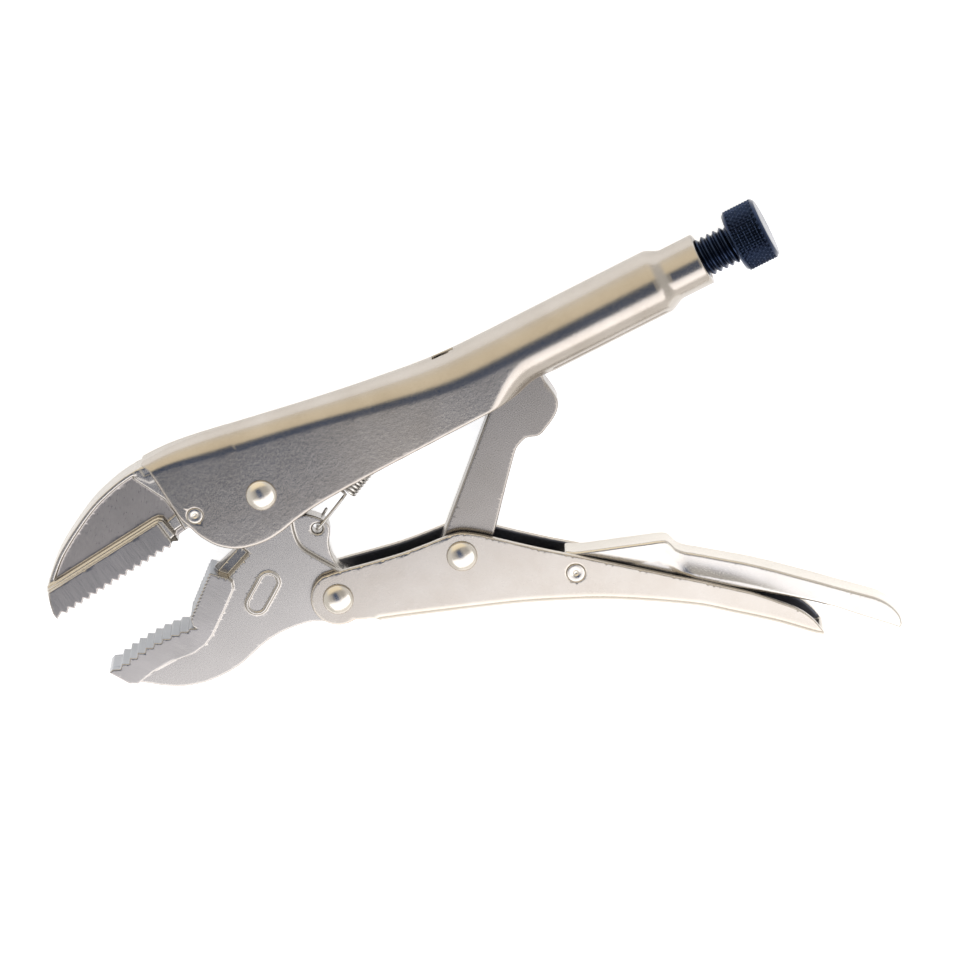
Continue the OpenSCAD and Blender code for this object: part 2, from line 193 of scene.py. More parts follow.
def from_rings(name, rings, close_u=True, caps=True, smooth_shade=True):
    """A skin over rows of points, in design mm."""
    m = len(rings[0])
    verts = [tuple((np.array(p) + ORG) * M) for ring in rings for p in ring]
    faces = []
    for i in range(len(rings) - 1):
        for j in range(m if close_u else m - 1):
            a, b = i * m + j, i * m + (j + 1) % m
            faces.append((a, b, b + m, a + m))
    if caps:
        faces.append(tuple(reversed(range(m))))
        faces.append(tuple((len(rings) - 1) * m + j for j in range(m)))
    me = bpy.data.meshes.new(name)
    me.from_pydata(verts, [], faces)
    import bmesh
    bm = bmesh.new()
    bm.from_mesh(me)
    bmesh.ops.remove_doubles(bm, verts=bm.verts, dist=1e-7)
    bmesh.ops.recalc_face_normals(bm, faces=bm.faces)
    bm.to_mesh(me)
    bm.free()
    for p in me.polygons:
        p.use_smooth = smooth_shade
    ob = bpy.data.objects.new(name, me)
    bpy.context.scene.collection.objects.link(ob)
    return ob


def sharp_by_angle(ob, deg):
    me = ob.data
    import bmesh
    bm = bmesh.new()
    bm.from_mesh(me)
    for e in bm.edges:
        if len(e.link_faces) == 2 and e.calc_face_angle(0) > math.radians(deg):
            e.smooth = False
    bm.to_mesh(me)
    bm.free()


# ------------------------------------------------------------------ materials
def material(name, base, rough, metallic=1.0, tint=None, grain=(900, 0.05), grain_depth=0.00002,
             peel=None, streak=None, rough_var=0.06, patch=60.0, dirt=0.0, coat=0.0):
    m = bpy.data.materials.new(name)
    m.use_nodes = True
    nt = m.node_tree
    N, L = nt.nodes, nt.links
    N.clear()
    out = N.new("ShaderNodeOutputMaterial")
    bs = N.new("ShaderNodeBsdfPrincipled")
    L.new(bs.outputs[0], out.inputs[0])
    bs.inputs["Metallic"].default_value = metallic
    bs.inputs["Coat Weight"].default_value = coat
    tc = N.new("ShaderNodeTexCoord")
    # slow colour drift and roughness drift
    n1 = N.new("ShaderNodeTexNoise")
    n1.inputs["Scale"].default_value = patch
    n1.inputs["Detail"].default_value = 5
    n1.inputs["Roughness"].default_value = 0.6
    L.new(tc.outputs["Object"], n1.inputs["Vector"])
    n2 = N.new("ShaderNodeTexNoise")
    n2.inputs["Scale"].default_value = grain[0]
    n2.inputs["Detail"].default_value = 3
    if streak:
        mp = N.new("ShaderNodeMapping")
        mp.vector_type = "TEXTURE"
        mp.inputs["Rotation"].default_value = (0, 0, math.radians(streak[0]))
        mp.inputs["Scale"].default_value = streak[1]
        L.new(tc.outputs["Object"], mp.inputs["Vector"])
        L.new(mp.outputs[0], n2.inputs["Vector"])
    else:
        L.new(tc.outputs["Object"], n2.inputs["Vector"])
    mix = N.new("ShaderNodeMix")
    mix.data_type = "RGBA"
    tint = tint or tuple(c * 0.86 for c in base)
    mix.inputs[6].default_value = (*base, 1)
    mix.inputs[7].default_value = (*tint, 1)
    ramp = N.new("ShaderNodeMapRange")
    ramp.inputs["From Min"].default_value = 0.35
    ramp.inputs["From Max"].default_value = 0.68
    L.new(n1.outputs["Fac"], ramp.inputs["Value"])
    L.new(ramp.outputs[0], mix.inputs[0])
    col = mix.outputs[2]
    if grain[1] > 0:
        # fine speckle
        mul = N.new("ShaderNodeMix")
        mul.data_type = "RGBA"
        mul.blend_type = "MULTIPLY"
        mul.inputs[0].default_value = 1.0
        sp = N.new("ShaderNodeMapRange")
        sp.inputs["From Min"].default_value = 0.3
        sp.inputs["From Max"].default_value = 0.7
        sp.inputs["To Min"].default_value = 1.0 - grain[1]
        sp.inputs["To Max"].default_value = 1.0
        L.new(n2.outputs["Fac"], sp.inputs["Value"])
        comb = N.new("ShaderNodeCombineColor")
        for i in range(3):
            L.new(sp.outputs[0], comb.inputs[i])
        L.new(col, mul.inputs[6])
        L.new(comb.outputs[0], mul.inputs[7])
        col = mul.outputs[2]
    L.new(col, bs.inputs["Base Color"])
    rr = N.new("ShaderNodeMapRange")
    rr.inputs["From Min"].default_value = 0.3
    rr.inputs["From Max"].default_value = 0.7
    rr.inputs["To Min"].default_value = rough - rough_var
    rr.inputs["To Max"].default_value = rough + rough_var
    L.new(n2.outputs["Fac"], rr.inputs["Value"])
    L.new(rr.outputs[0], bs.inputs["Roughness"])
    bump = N.new("ShaderNodeBump")
    bump.inputs["Strength"].default_value = 1.0
    bump.inputs["Distance"].default_value = grain_depth
    L.new(n2.outputs["Fac"], bump.inputs["Height"])
    last = bump
    if peel:
        n3 = N.new("ShaderNodeTexNoise")
        n3.inputs["Scale"].default_value = peel[0]
        n3.inputs["Detail"].default_value = 2
        L.new(tc.outputs["Object"], n3.inputs["Vector"])
        b3 = N.new("ShaderNodeBump")
        b3.inputs["Strength"].default_value = 1.0
        b3.inputs["Distance"].default_value = peel[1]
        L.new(n3.outputs["Fac"], b3.inputs["Height"])
        L.new(bump.outputs[0], b3.inputs["Normal"])
        last = b3
    L.new(last.outputs[0], bs.inputs["Normal"])
    return m


MAT = {
    "plate": material("grainy_nickel", (0.445, 0.415, 0.380), 0.235, tint=(0.40, 0.367, 0.328),
                      grain=(2600, 0.06), grain_depth=0.0000060, peel=(900, 0.000016),
                      rough_var=0.03),
    "nickel": material("satin_nickel", (0.545, 0.505, 0.450), 0.25, tint=(0.51, 0.465, 0.405),
                       grain=(3000, 0.03), grain_depth=0.0000012, peel=(1500, 0.000003),
                       rough_var=0.03),
    "lever": material("bright_satin", (0.64, 0.61, 0.565), 0.25, tint=(0.59, 0.56, 0.515),
                      grain=(3000, 0.03), grain_depth=0.0000015, peel=(1300, 0.000005),
                      rough_var=0.03),
    "link": material("dull_nickel", (0.360, 0.335, 0.310), 0.27, tint=(0.335, 0.31, 0.282),
                     grain=(2600, 0.04), grain_depth=0.0000006, peel=(1100, 0.0000018),
                     rough_var=0.02),
    "jaw": material("forged_nickel", (0.50, 0.475, 0.445), 0.26, tint=(0.470, 0.447, 0.418),
                    grain=(2600, 0.04), grain_depth=0.0000006, peel=(1000, 0.0000014), rough_var=0.03),
    "web": material("rough_forging", (0.375, 0.350, 0.335), 0.30, tint=(0.325, 0.305, 0.29),
                    grain=(2600, 0.06), grain_depth=0.0000012, streak=(-35, (1, 4, 1)),
                    peel=(900, 0.000004), rough_var=0.03),
    "strip": material("ground_steel", (0.43, 0.405, 0.385), 0.25, tint=(0.385, 0.365, 0.345),
                      grain=(2600, 0.07), grain_depth=0.0000005, streak=(5.7, (1, 22, 1)),
                      rough_var=0.015),
    "strip_low": material("ground_steel_low", (0.50, 0.475, 0.45), 0.25, tint=(0.44, 0.42, 0.395),
                          grain=(2600, 0.08), grain_depth=0.0000005, streak=(37, (1, 22, 1)),
                          rough_var=0.015),
    "tooth": material("cut_steel", (0.36, 0.37, 0.39), 0.30, tint=(0.30, 0.31, 0.33),
                      grain=(2200, 0.06), grain_depth=0.000001, rough_var=0.03),
    "rivet": material("bright_nickel", (0.66, 0.62, 0.56), 0.22, grain=(1500, 0.03),
                      grain_depth=0.0000008, peel=(700, 0.000002), rough_var=0.03),
    # painted shade: a dark navy base colour stands for the shade and dark reflection inside the
    # channel; the higher roughness is its unpolished finish
    "inner": material("painted_inside_shade", (0.15, 0.155, 0.18), 0.38, tint=(0.10, 0.105, 0.13),
                      grain=(2200, 0.15), grain_depth=0.000004, peel=(500, 0.00001)),
    "wire": material("drawn_wire", (0.58, 0.56, 0.53), 0.20, grain=(3000, 0.06),
                     grain_depth=0.000002, rough_var=0.04),
    "black": material("black_oxide", (0.026, 0.042, 0.085), 0.21, metallic=0.9,
                      tint=(0.014, 0.022, 0.046), grain=(1800, 0.2), grain_depth=0.000003,
                      rough_var=0.05),
}


def zone(ob, mat, test):
    """Faces whose middle (design mm) and normal pass the test take another finish."""
    me = ob.data
    me.materials.append(MAT[mat])
    k = len(me.materials) - 1
    n = len(me.polygons)
    c = np.zeros(n * 3, np.float32)
    me.polygons.foreach_get("center", c)
    c = c.reshape(-1, 3) / M - ORG
    nn = np.zeros(n * 3, np.float32)
    me.polygons.foreach_get("normal", nn)
    nn = nn.reshape(-1, 3)
    idx = np.zeros(n, np.int32)
    me.polygons.foreach_get("material_index", idx)
    idx[test(c, nn)] = k
    me.polygons.foreach_set("material_index", idx)
    return ob


def right_of(a, b, c):
    """True for points on the right of the line from a to b."""
    return (b[0] - a[0]) * (c[:, 1] - a[1]) - (b[1] - a[1]) * (c[:, 0] - a[0]) < 0


def place(ob, mat, body, node):
    ob.data.materials.clear()
    ob.data.materials.append(MAT[mat])
    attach(ob, body)
    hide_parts(node)
    return ob


# ------------------------------------------------------------------ upper handle
TOP = np.array(spline([(-31, 25.2), (-20, 25.4), (-10, 24.5), (0, 22.8), (10, 21.0), (20, 19.2),
                       (30, 17.5), (40, 15.9), (50, 14.5), (60, 13.2), (70, 12.4), (82, 12.2),
                       (96, 12.2)]))


def handle_section(x):
    """yt, yb, half width, top radius, bottom radius along the handle."""
    yt = np.interp(x, TOP[:, 0], TOP[:, 1])
    w = FRONT_W + (TUBE_R - FRONT_W) * smooth((x - 15) / 65)
    rt = np.where(x < 0, 4.5 + (FRONT_W - 4.9) * smooth((x + 29) / 24), w - 0.05)
    yb = -17 + (AXIS_Y - TUBE_R + 17) * smooth((x - 62) / 30)
    rb = 3 + (TUBE_R - 3.05) * smooth((x - 62) / 30)
    # shoulder and neck
    r = TUBE_R + (NECK_R - TUBE_R) * smooth((x - SHOULDER - 0.2) / 5.6)
    back = x > 96
    yt = np.where(back, AXIS_Y + r, yt)
    yb = np.where(back, AXIS_Y - r, yb)
    w = np.where(back, r, w)
    rt = np.where(back, r - 0.02, rt)
    rb = np.where(back, r - 0.02, rb)
    return yt, yb, w, rt, rb


def section_field(F, inset):
    yt, yb, w, rt, rb = (v[:, None, None] for v in handle_section(F.x.astype(float)))
    yt, yb, w = yt - inset, yb + inset, w - inset
    rt, rb = np.maximum(rt - inset, 0.5), np.maximum(rb - inset, 0.5)
    Y, Z = F.Y[:, :, None], F.z[None, None, :]
    yc = (yt + yb) / 2
    r = np.where(Y > yc, rt, rb)
    r = np.minimum(r, w)
    qz = Z - w + r
    qy = np.where(Y > yc, Y - yt, yb - Y) + r
    return (np.minimum(np.maximum(qz, qy), 0) + np.hypot(np.maximum(qz, 0), np.maximum(qy, 0))
            - r).astype(np.float32)


def build_upper_handle():
    F = Field((-29, -14.2, 0), (NECK_END, 25.6, TUBE_R), 0.335)
    outer, inner = section_field(F, 0.0), section_field(F, SHEET)
    inner = np.maximum(inner, (F.x - (SHOULDER + 1.5))[:, None, None])
    F.d = smax(outer, -inner, 0.35)
    edge = ([(-28.8, 32), (-28.8, 26.0), (-28.4, 24.6), (-26.9, 22.4)]
            + spline([(-26.6, 18), (-26.2, 9.5), (-25.7, 4.5), (-24.3, 0.4), (-22.8, -3.6),
                      (-19.8, -8.2), (-15.5, -11.6), (-10.5, -13.3), (-5.0, -13.9), (0.5, -13.3),
                      (6, -12.1), (14, -11.0), (24, -10.4), (36, -9.9), (50, -9.4), (64, -8.9),
                      (76, -8.7)])
            + [(90, -8.7), (97.5, -11.5), (97.5, -20), (NECK_END, -20), (NECK_END, 32)])
    F.keep(F.poly(edge)[:, :, None], 0.8)
    # mouth of the channel underneath
    zz, xx = F.z[None, None, :], F.X[:, :, None]
    slot = np.where(xx < 93, zz - 4.9, np.hypot(xx - 93, zz) - 4.9)
    slot = np.maximum(slot, 60 - xx)
    slot = np.maximum(slot, F.Y[:, :, None] + 2)
    F.cut(slot.astype(np.float32), 0.5)
    # neck bore with a small lead-in
    rad = np.hypot(F.Y[:, :, None] - AXIS_Y, zz)
    bore = np.maximum(rad - 6.3 - np.clip(xx - (NECK_END - 0.6), 0, 1) * 0.6, SHOULDER + 1 - xx)
    F.cut(bore.astype(np.float32), 0.2)
    F.cut(F.disc(A, 3.3)[:, :, None], 0.15)
    F.cut(F.disc(P, 2.4)[:, :, None], 0.15)
    # folded edge along the underside of the tube
    ang = np.degrees(np.arctan2(F.Y[:, :, None] - AXIS_Y, zz))
    run_in = smooth((xx - 95) / 4) * smooth((SHOULDER + 2 - xx) / 4)
    groove = np.abs(ang + 53) / 57.3 * 10.2
    F.d = (F.d + 0.32 * run_in * np.exp(-(groove / 0.55) ** 2)).astype(np.float32)
    # window and lanced tab for the spring
    win = np.maximum(np.abs(xx - 68.9) - 3.5, zz - 1.7)
    win = np.maximum(win, 7 - F.Y[:, :, None])
    F.cut(win.astype(np.float32), 0.3)
    tab = F.poly([(75.0, 11.6), (75.0, 10.4), (71.0, 9.8), (66.5, 8.0), (64.3, 5.2), (62.9, 5.9),
                  (65.0, 9.2), (68.0, 10.9), (71.0, 11.8)])
    F.add(F.ext(tab, 1.4, 0.3))
    return F.mesh("upper_handle_skin")


place(build_upper_handle(), "plate", "upper_frame", "upper_handle")

# ------------------------------------------------------------------ upper jaw
JAW_BACK = spline([(-75.0, -2.5), (-74.0, 1.2), (-71.5, 5.0), (-65.4, 10.6), (-60, 14.2),
                   (-54.8, 17.1), (-50, 19.5), (-45.6, 21.3), (-40, 22.9), (-35, 23.9),
                   (-30.4, 24.3)])


def build_upper_jaw():
    F = Field((-75.2, -8.0, 0), (-9, 24.9, STRIP_T), 0.222)
    prof = F.poly([(-30.0, -0.6), (-73.4, -4.6), (-74.8, -5.6)] + JAW_BACK
                  + [(-29.3, 24.2), (-29.1, 21.3), (-26.4, 21.0), (-24, 20.4), (-16, 20.1),
                     (-12, 19.2), (-10.5, 18.0), (-10.5, 5.0), (-14, 0.6), (-24.8, 0.2)])
    F.add(F.ext(prof, 3.6, 0.4))
    inner = []
    for p in reversed(JAW_BACK):
        q = np.array(p) - np.array([-52, -24])
        s = 0.9 if p[0] < -72 else 1.5
        inner.append(tuple(np.array(p) - q / np.linalg.norm(q) * s))
    F.add(F.ext(F.poly(JAW_BACK + inner), JAW_T, 0.35), 0.5)
    F.add(F.ext(F.poly([(-31.2, 24.1), (-32.6, 22.0), (-27.4, 12.0), (-26.6, 6.6), (-26.6, 0.4),
                        (-24.8, 0.2), (-14, 0.6), (-10.5, 5.0), (-10.5, 18.0), (-12, 19.2),
                        (-16, 20.1), (-24, 20.4), (-26.4, 21.0), (-29.1, 21.3), (-29.3, 24.2),
                        (-30.4, 24.2)]), JAW_T, 0.5), 0.4)
    F.add(F.ext(F.poly([(-32.0, 23.9), (-30.6, 24.4), (-28.8, 24.5), (-26.4, 24.0), (-24, 22.7),
                        (-20, 22.4), (-20, 18), (-29, 18), (-32.0, 21.6)]), 4.6, 1.2), 0.5)
    F.add(F.ext(F.poly([(-73.6, 2.6), (-72.6, 4.2), (-33.4, 8.0), (-31.6, 7.9), (-30.4, 7.0),
                        (-29.4, 1.0), (-32, 0)]), 5.3, 0.5), 0.5)
    F.add(F.ext(F.poly([(-73.4, 2.2), (-72.7, 3.4), (-33.2, 7.4), (-31.9, 7.3), (-30.8, 6.4),
                        (-29.7, 0.6), (-32, 0)]), 6.3, 0.4), 0.3)
    teeth = []
    for i in range(16):
        x, y = -70.9 + 2.72 * i, -5.95 + 0.272 * i
        teeth += [(x - 1.36, y + TOOTH - 0.14), (x, y)]
    strip = F.poly([(-29.9, -1.8), (-30.8, 5.4), (-31.6, 6.5), (-33.0, 6.8), (-72.8, 2.7),
                    (-74.2, -0.4), (-75.0, -4.0), (-74.7, -6.3)] + teeth)
    # the strip's end falls away to the wire cutter, whose own face is bevelled to an edge
    q0, q1 = np.array([-29.9, -1.8]), np.array([-30.8, 5.4])
    e = q1 - q0
    off = ((F.X - q0[0]) * -e[1] + (F.Y - q0[1]) * e[0]) / np.linalg.norm(e)
    end = np.minimum(STRIP_T, 4.3 + np.maximum(off, 0) * 1.7)
    F.add(F.ext(strip, end.astype(np.float32), 0.28), 0.2)
    edge_t = np.minimum(4.2, 0.7 + np.maximum(F.Y + 0.8 - (F.X + 30) * 0.16, 0) * 1.5)
    F.add(F.ext(F.poly([(-30.4, -0.8), (-28.6, -0.5), (-25.2, 0.0), (-25.2, 6.4), (-28.2, 5.5),
                        (-30.4, 5)]), edge_t.astype(np.float32), 0.25))
    F.cut(F.disc(A, 11.9)[:, :, None], 0.2)
    F.cut(F.disc(P, 2.4)[:, :, None])
    return F.mesh("upper_jaw_forging")


uj = place(build_upper_jaw(), "jaw", "upper_frame", "upper_jaw")
zone(uj, "web", lambda c, n: (np.abs(c[:, 2]) < 3.75) & (np.abs(n[:, 2]) > 0.7) & (c[:, 0] < -26))
zone(uj, "strip", lambda c, n: (np.abs(c[:, 2]) > 6.8) & (np.abs(n[:, 2]) > 0.8))
zone(uj, "tooth", lambda c, n: (np.abs(n[:, 2]) < 0.45) & (c[:, 0] < -30.5) & (n[:, 1] < -0.1)
     & (c[:, 1] < 1.0) & (np.abs(c[:, 2]) < 7.0))

# ------------------------------------------------------------------ lower jaw
BELLY = spline([(-65.2, -35.0), (-63.0, -36.4), (-59.6, -38.9), (-56.1, -41.5), (-51.5, -44.1),
                (-46.7, -45.7), (-43, -46.4), (-39.2, -46.6), (-35, -46.5), (-30.7, -45.8),
                (-26, -44.4), (-22.1, -43.4), (-18.5, -42.9), (-14.5, -42.8), (-10, -43.3),
                (-6.3, -44.1), (-2.5, -46.0), (-0.6, -47.0)])


def build_lower_jaw():
    F = Field((-69.4, -49.2, 0), (13.6, 12.2, STRIP_T), 0.205)
    body = F.poly(BELLY[::-1] + [(-69.0, -28.9), (-67.8, -28.4), (-64, -29.6), (-40, -28.9),
                                 (-36.8, -24.6), (-25.6, -16.0), (-24.6, -15.2), (-16.0, -12.9),
                                 (-12, -9.5)]
                  + arc(A, 11.5, 215, -20, 60)
                  + spline([(7.0, -9.3), (4.6, -11.2), (3.3, -13.6), (2.4, -16.7), (2.1, -19.6),
                            (2.6, -22.2), (4.2, -25.2), (6.6, -29.2), (9.2, -33.4)])
                  + arc(B, 8.0, 50, -120, 40))
    # wire cutter: both faces fall away to an edge between the strip and the hub
    c0, c1 = np.array([-25.6, -16.0]), np.array([-13.4, -11.2])
    e = c1 - c0
    along = ((F.X - c0[0]) * e[0] + (F.Y - c0[1]) * e[1]) / (e @ e)
    deep = -((F.Y - c0[1]) * e[0] - (F.X - c0[0]) * e[1]) / np.linalg.norm(e)
    rec = np.maximum(np.abs(along - 0.44) - 0.44, 0) * 30
    deep = np.maximum(deep, 0)
    thick = np.minimum(0.6 + 1.7 * deep, 2.3 + 0.10 * deep) + np.maximum(deep - 4.0, 0) * 5 + rec
    thick = np.minimum(JAW_T, thick)
    F.add(F.ext(body, thick.astype(np.float32), 0.5))
    ear = F.poly([(2, -11), (8.4, -13.1), (10.3, -14.7)]
                 + spline([(11.8, -16.4), (12.8, -18.7), (12.4, -21.1), (10.4, -24.0), (9.3, -27.0),
                           (9.0, -30.2), (9.6, -34)]) + [(4, -32), (1, -20)])
    F.add(F.ext(ear, 3.0, 0.5), 0.7)
    a, b = np.array([-38.4, -25.2]), np.array([-26.2, -15.0])
    steps, fine = [], []
    for i in range(9):
        x = -64.1 + 3.0 * i
        y = -26.75 - 1.35 * ((x + 51) / 13) ** 2
        steps += [(x, y), (x + 1.9, y - 1.05)]
    for i in range(13):
        p = a + (b - a) * (i + 0.5) / 13
        fine += [(p[0] + 0.10, p[1] - 0.22), (p[0] - 0.02, p[1] + 0.42)]
    strip = F.poly([(-69.0, -28.9), (-67.6, -28.4), (-65.4, -29.4)] + steps
                   + [(-38.9, -27.7), tuple(a)] + fine
                   + [(-25.9, -15.0), (-21.9, -19.0), (-21.3, -20.7), (-22.2, -22.9),
                      (-28.1, -27.7), (-34.8, -32.9), (-38.5, -34.8), (-42.7, -35.5),
                      (-46.5, -35.2), (-49.9, -34.7), (-56.5, -34.9), (-62.8, -36.3),
                      (-65.2, -35.0)])
    F.add(F.ext(strip, STRIP_T, 0.28), 0.25)
    # plain raised pad with a sunken middle
    p0, p1 = np.array([-11.8, -26.4]), np.array([-18.4, -30.9])
    e = p1 - p0
    t = np.clip(((F.X - p0[0]) * e[0] + (F.Y - p0[1]) * e[1]) / (e @ e), 0, 1)
    pad = np.hypot(F.X - p0[0] - t * e[0], F.Y - p0[1] - t * e[1]) - 3.0
    pad = pad - 0.55
    F.add(F.ext(pad.astype(np.float32), JAW_T + 0.5, 0.45), 0.3)
    ring = np.maximum((pad + 0.95)[:, :, None], JAW_T + 0.10 - F.z[None, None, :])
    F.cut(ring.astype(np.float32), 0.3)
    F.cut(F.disc(A, 3.3)[:, :, None], 0.1)
    F.cut(F.disc(B, 3.3)[:, :, None], 0.1)
    hole = F.disc(H, 1.55)[:, :, None] - np.clip(F.z[None, None, :] - 2.4, 0, 1) * 0.8
    F.cut(hole.astype(np.float32), 0.15)
    return F.mesh("lower_jaw_forging")


lj = place(build_lower_jaw(), "jaw", "lower_jaw_body", "lower_jaw")
zone(lj, "strip_low", lambda c, n: (np.abs(c[:, 2]) > 6.8) & (np.abs(n[:, 2]) > 0.8))
zone(lj, "tooth", lambda c, n: (np.abs(n[:, 2]) < 0.45) & (c[:, 0] < -24.5) & (c[:, 1] > -31.5)
     & (n[:, 1] - 0.4 * n[:, 0] > -0.1) & (np.abs(c[:, 2]) < 7.0))

# ------------------------------------------------------------------ lower handle
LOW_TOP = (arc(B, 8.5, 195, 96, 30)
           + spline([(7.4, -32.5), (12, -33.4), (20, -35.1), (28.4, -36.7), (36, -37.6),
                     (41.9, -38.1), (45.5, -38.5), (48.6, -39.5), (52.8, -42.4), (57.6, -46.6),
                     (62.4, -50.9), (69, -56.6), (75.6, -62.0), (84.4, -69.4), (93.1, -76.7),
                     (99.4, -82), (105.7, -87.2), (112, -92.7), (118.4, -98.4), (124.3, -104.7),
                     (128.6, -109.9), (130.9, -114.8), (131.9, -119.8)], 6))
LOW_BOT = spline([(131.2, -121.0), (128.6, -119.0), (121.3, -111.8), (115.2, -106.4),
                  (109.5, -101.6), (102.4, -95.6), (93, -89.2), (84, -83.6), (74.6, -78.3),
                  (64, -73.2), (53.6, -68.6), (42, -64.1), (30, -59.6), (20, -55.9),
                  (13.0, -53.4)], 6)


def build_lower_handle():
    F = Field((-4.2, -122, 0), (133, -31.5, LOW_W), 0.34)
    out = F.poly(LOW_TOP + [(131.4, -123.5), (124, -123.5), (60, -85), (13.4, -59), (12.7, -53.2),
                            (12.3, -51.8), (11.0, -51.0)] + arc(B, 8.5, 278, 200, 24))
    bot = np.array(LOW_BOT[::-1])
    # distance above the bottom line, used for the rounded bends
    yb = np.interp(F.X, bot[:, 0], bot[:, 1], left=-53.4)
    yb = np.where(F.X < 13, -53.4 - (13 - F.X) * 0.3, yb)
    slope = np.gradient(yb[:, 0], F.h)[:, None]
    cosb = 1 / np.sqrt(1 + slope ** 2)
    db = ((yb - F.Y) * cosb)[:, :, None]
    r = 2.8
    a, c = db + r, F.z[None, None, :] - LOW_W + r
    bend = np.minimum(np.maximum(a, c), 0) + np.hypot(np.maximum(a, 0), np.maximum(c, 0)) - r
    F.d = smax(F.ext(out, LOW_W, 0.15), bend.astype(np.float32), 0.2)
    inner = F.poly([(p[0] - 0.9, p[1] + 2.25) for p in LOW_BOT[::-1]]
                   + [(140, -119), (140, 0), (-20, 0), (-20, -60), (10.2, -60)])
    cavity = F.ext(inner, 4.95, 0.9)
    F.cut(cavity, 0.7)
    F.cut(F.disc(B, 3.3)[:, :, None], 0.1)
    F.cut(F.disc(C, 3.3)[:, :, None], 0.1)
    F.cut(F.disc(E, 2.8)[:, :, None], 0.1)
    return F.mesh("lower_handle_skin")


lh = place(build_lower_handle(), "nickel", "lower_handle_body", "lower_handle")
# the channel's inward-facing wall faces take the painted shade material
zone(lh, "inner", lambda c, n: (np.abs(c[:, 2]) < 5.2) & (c[:, 2] * n[:, 2] < -0.6 * np.abs(c[:, 2])))

# ------------------------------------------------------------------ toggle link
LINK_ANG = math.degrees(math.atan2(*(D - C)[::-1]))


def build_link():
    F = Field((37.5, -53.4, 0), (98, 7, 4), 0.28)
    out = F.poly(arc(C, 7.3, 132.6, 319, 50)
                 + spline([(56.4, -45.3), (64.4, -36.1), (72.3, -27.2), (75.2, -24.2),
                           (77.8, -22.9), (79.9, -22.6), (83.5, -23.6), (87.2, -22.1),
                    (89.4, -21.0), (91.7, -19.3), (93.2, -17.2), (93.6, -14.8),
                    (93.3, -11.5), (93.0, -8.0), (94.4, -4.4)])
                 + arc(D, 4.6, -42, 132.6, 30))
    F.add(F.ext(out, 4.0, 0.45))
    F.cut(F.disc(C, 3.3)[:, :, None], 0.1)
    return F.mesh("toggle_link_strut")


place(build_link(), "link", "link_body", "toggle_link")

# ------------------------------------------------------------------ release lever
LEV_TOP = spline([(72.2, -60.9), (73.0, -60.3), (74.1, -60.5), (76.2, -61.8), (81.5, -63.8),
                  (88.6, -66.3), (96.7, -69.2), (100.4, -70.5), (102.4, -71.6), (103.2, -73.2),
                  (103.9, -75.4), (105.9, -77.6), (109.0, -80.0), (116.0, -85.6), (120.4, -89.1),
                  (126.4, -94.4), (132.0, -99.7), (137, -104.4), (141.3, -108.6), (147.4, -114.4),
                  (151.4, -118.4), (153.8, -122.4), (154.8, -126.6), (154.2, -129.6)], 6)
LEV_BOT = [(153.0, -130.6), (150.2, -127.6), (144, -121.2), (138.4, -115.2), (133.8, -110.9),
           (127, -105.2), (120, -99.8), (110, -92.8), (100, -86.5), (90, -80.4), (80, -75.0),
           (77.0, -72.6), (73.6, -72.1), (70.2, -70.6), (69.0, -67.6), (69.8, -64.6)]


def build_lever():
    F = Field((68.6, -131, 0), (155.4, -59.8, 4.7), 0.26)
    out = F.poly([(70.6, -61.8)] + LEV_TOP + LEV_BOT)
    depth = np.clip(-F.poly(LEV_TOP + [(154, -200), (72, -200)]) / 6.5, 0, 1)
    flare = np.clip((140 - F.X) / 30, 0.15, 1)
    after = smooth((F.X - 99) / 6)
    side_t = 4.68 - 0.66 * flare * (1 - depth ** 3) * after - 0.75 * depth * (1 - after)
    F.add(F.ext(out, side_t.astype(np.float32), 1.1))
    roof = [(p[0] - 0.8, p[1] - 1.8) for p in LEV_TOP if 76 < p[0] < 150]
    cav = F.poly(roof + [(149.5, -122), (151, -150), (60, -150), (60, -66), (74, -64.6)])
    F.cut(F.ext(cav, 2.9, 0.7), 0.5)
    F.cut(F.disc(E, 2.9)[:, :, None], 0.1)
    return F.mesh("release_lever_skin")


place(build_lever(), "lever", "lever_body", "release_lever")


# ------------------------------------------------------------------ turned pieces
def lathe_z(name, c, profile, n=96):
    """profile: [radius, z] from one end to the other."""
    rings = [[(c[0] + r * math.cos(2 * math.pi * k / n), c[1] + r * math.sin(2 * math.pi * k / n), z)
              for k in range(n)] for r, z in profile]
    return from_rings(name, rings)


def rivet(name, c, w, body, node):
    R, Hh = 4.75, 2.2
    # flatter in the middle than a ball, and steeper towards its rim
    dome = [(R * math.sin(math.radians(84) * k / 24),
             w + 0.24 + (Hh - 0.24) * math.cos(math.radians(84) * k / 24) ** 1.06) for k in range(24)]
    # hammered-over rim: a small roll between the dome and the wall
    dome += [(R - 0.10, w + 0.22), (R - 0.02, w + 0.10), (R - 0.08, w + 0.02), (R - 0.4, w)]
    up = [(max(r, 0.02), z) for r, z in dome] + [(3.2, w), (3.2, 0.0)]
    prof = up + [(r, -z) for r, z in reversed(up[:-1])]
    ob = lathe_z(name, c, prof)
    sharp_by_angle(ob, 50)
    return place(ob, "rivet", body, node)


def pin(name, c, w, r, body, node):
    t = w + 0.07
    up = [(0.02, t - 0.42), (0.14 * r, t - 0.40), (0.25 * r, t - 0.27), (0.33 * r, t - 0.07),
          (0.39 * r, t - 0.01), (0.93 * r, t), (0.98 * r, t - 0.03), (r, t - 0.10), (r, 0.0)]
    prof = up + [(q, -z) for q, z in reversed(up[:-1])]
    ob = lathe_z(name, c, prof, 72)
    return place(ob, "rivet", body, node)


